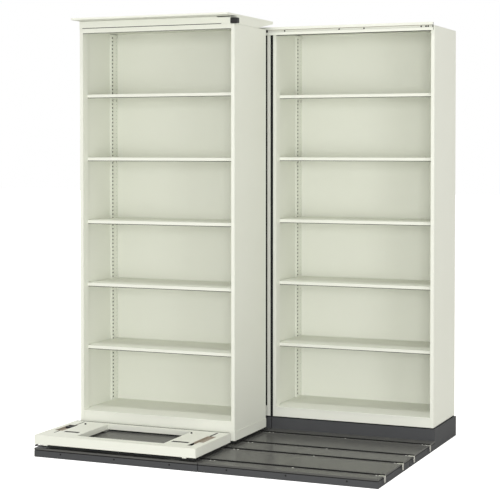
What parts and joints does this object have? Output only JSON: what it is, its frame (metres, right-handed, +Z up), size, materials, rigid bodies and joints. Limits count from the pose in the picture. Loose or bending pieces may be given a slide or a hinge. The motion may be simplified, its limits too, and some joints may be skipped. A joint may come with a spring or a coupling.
{
  "type": "compact mobile shelving",
  "caption": "Steel shelving in three rows on a floor base: a fixed back row, a sliding cabinet and a sliding bare carriage on flush rails.",
  "frame": {"origin": "bottom centre of the whole object's box", "axes": "+X along the rails to the right, +Y from the front row to the fixed row, +Z up"},
  "size_m": [1.822, 1.354, 2.2146],
  "materials": {
    "cream_steel": "satin powder coat, warm light grey",
    "dark_panel": "board with a dark grey satin facing",
    "dark_deck": "board with a dark grey half-gloss facing",
    "rail_steel": "dark rolled steel, nickel-plated end stops",
    "axle_steel": "turned steel",
    "roller_plastic": "moulded, matt",
    "black_rubber": "matt"
  },
  "bodies": {
    "fixed_base": {"base_panel_front_left": "dark_panel", "base_panel_front_right": "dark_panel", "base_panel_middle_left": "dark_panel", "base_panel_middle_right": "dark_panel", "deck_left": "dark_deck", "deck_right": "dark_deck", "rail_1": "rail_steel", "rail_2": "rail_steel", "rail_3": "rail_steel", "rail_4": "rail_steel", "plinth_left": "dark_panel", "plinth_right": "dark_panel", "back_left_back": "cream_steel", "back_left_bottom": "cream_steel", "back_left_top": "cream_steel", "back_left_side_left": "cream_steel", "back_left_side_right": "cream_steel", "back_left_shelf_1": "cream_steel", "back_left_shelf_2": "cream_steel", "back_left_shelf_3": "cream_steel", "back_left_shelf_4": "cream_steel", "back_left_shelf_5": "cream_steel", "back_right_back": "cream_steel", "back_right_bottom": "cream_steel", "back_right_top": "cream_steel", "back_right_side_left": "cream_steel", "back_right_side_right": "cream_steel", "back_right_shelf_1": "cream_steel", "back_right_shelf_2": "cream_steel", "back_right_shelf_3": "cream_steel", "back_right_shelf_4": "cream_steel", "back_right_shelf_5": "cream_steel", "back_right_upright_left": "cream_steel", "back_right_upright_right": "cream_steel", "guide_rail": "cream_steel"},
    "middle_row": {"middle_carriage": "cream_steel", "middle_back": "cream_steel", "middle_bottom": "cream_steel", "middle_top": "cream_steel", "middle_side_left": "cream_steel", "middle_side_right": "cream_steel", "middle_shelf_1": "cream_steel", "middle_shelf_2": "cream_steel", "middle_shelf_3": "cream_steel", "middle_shelf_4": "cream_steel", "middle_shelf_5": "cream_steel", "middle_upright_left": "cream_steel", "middle_upright_right": "cream_steel", "header_frame": "cream_steel", "top_plate": "cream_steel", "rubber_bumper": "black_rubber"},
    "middle_wheels_left": {"middle_wheelset_left": "axle_steel"},
    "middle_wheels_right": {"middle_wheelset_right": "axle_steel"},
    "roller_left": {"guide_roller_left": "roller_plastic"},
    "roller_right": {"guide_roller_right": "roller_plastic"},
    "front_row": {"front_carriage_frame": "cream_steel", "front_carriage_cover_left": "cream_steel", "front_carriage_cover_right": "cream_steel"},
    "front_wheels_left": {"front_wheelset_left": "axle_steel"},
    "front_wheels_right": {"front_wheelset_right": "axle_steel"}
  },
  "joints": [
    {"name": "middle_row_slide", "type": "slide", "parent": "fixed_base", "child": "middle_row", "axis": [1, 0, 0], "range_m": [0, 0.892]},
    {"name": "front_row_slide", "type": "slide", "parent": "fixed_base", "child": "front_row", "axis": [1, 0, 0], "range_m": [0, 0.91]},
    {"name": "middle_wheels_left_spin", "type": "hinge", "parent": "middle_row", "child": "middle_wheels_left", "pos_m": [-0.828, -0.0195, 0.0699], "axis": [0, 1, 0], "continuous": true},
    {"name": "middle_wheels_right_spin", "type": "hinge", "parent": "middle_row", "child": "middle_wheels_right", "pos_m": [-0.064, -0.0195, 0.0699], "axis": [0, 1, 0], "continuous": true},
    {"name": "front_wheels_left_spin", "type": "hinge", "parent": "front_row", "child": "front_wheels_left", "pos_m": [-0.837, -0.4695, 0.0699], "axis": [0, 1, 0], "continuous": true},
    {"name": "front_wheels_right_spin", "type": "hinge", "parent": "front_row", "child": "front_wheels_right", "pos_m": [-0.073, -0.4695, 0.0699], "axis": [0, 1, 0], "continuous": true},
    {"name": "roller_left_spin", "type": "hinge", "parent": "middle_row", "child": "roller_left", "pos_m": [-0.69, 0.2696, 2.1695], "axis": [0, 0, 1], "continuous": true},
    {"name": "roller_right_spin", "type": "hinge", "parent": "middle_row", "child": "roller_right", "pos_m": [-0.202, 0.2696, 2.1695], "axis": [0, 0, 1], "continuous": true}
  ],
  "couplings": [
    {"joint": "middle_wheels_left_spin", "follows": "middle_row_slide", "rad_per_m": 33.333},
    {"joint": "middle_wheels_right_spin", "follows": "middle_row_slide", "rad_per_m": 33.333},
    {"joint": "front_wheels_left_spin", "follows": "front_row_slide", "rad_per_m": 33.333},
    {"joint": "front_wheels_right_spin", "follows": "front_row_slide", "rad_per_m": 33.333},
    {"joint": "roller_left_spin", "follows": "middle_row_slide", "rad_per_m": -100},
    {"joint": "roller_right_spin", "follows": "middle_row_slide", "rad_per_m": -100}
  ]
}
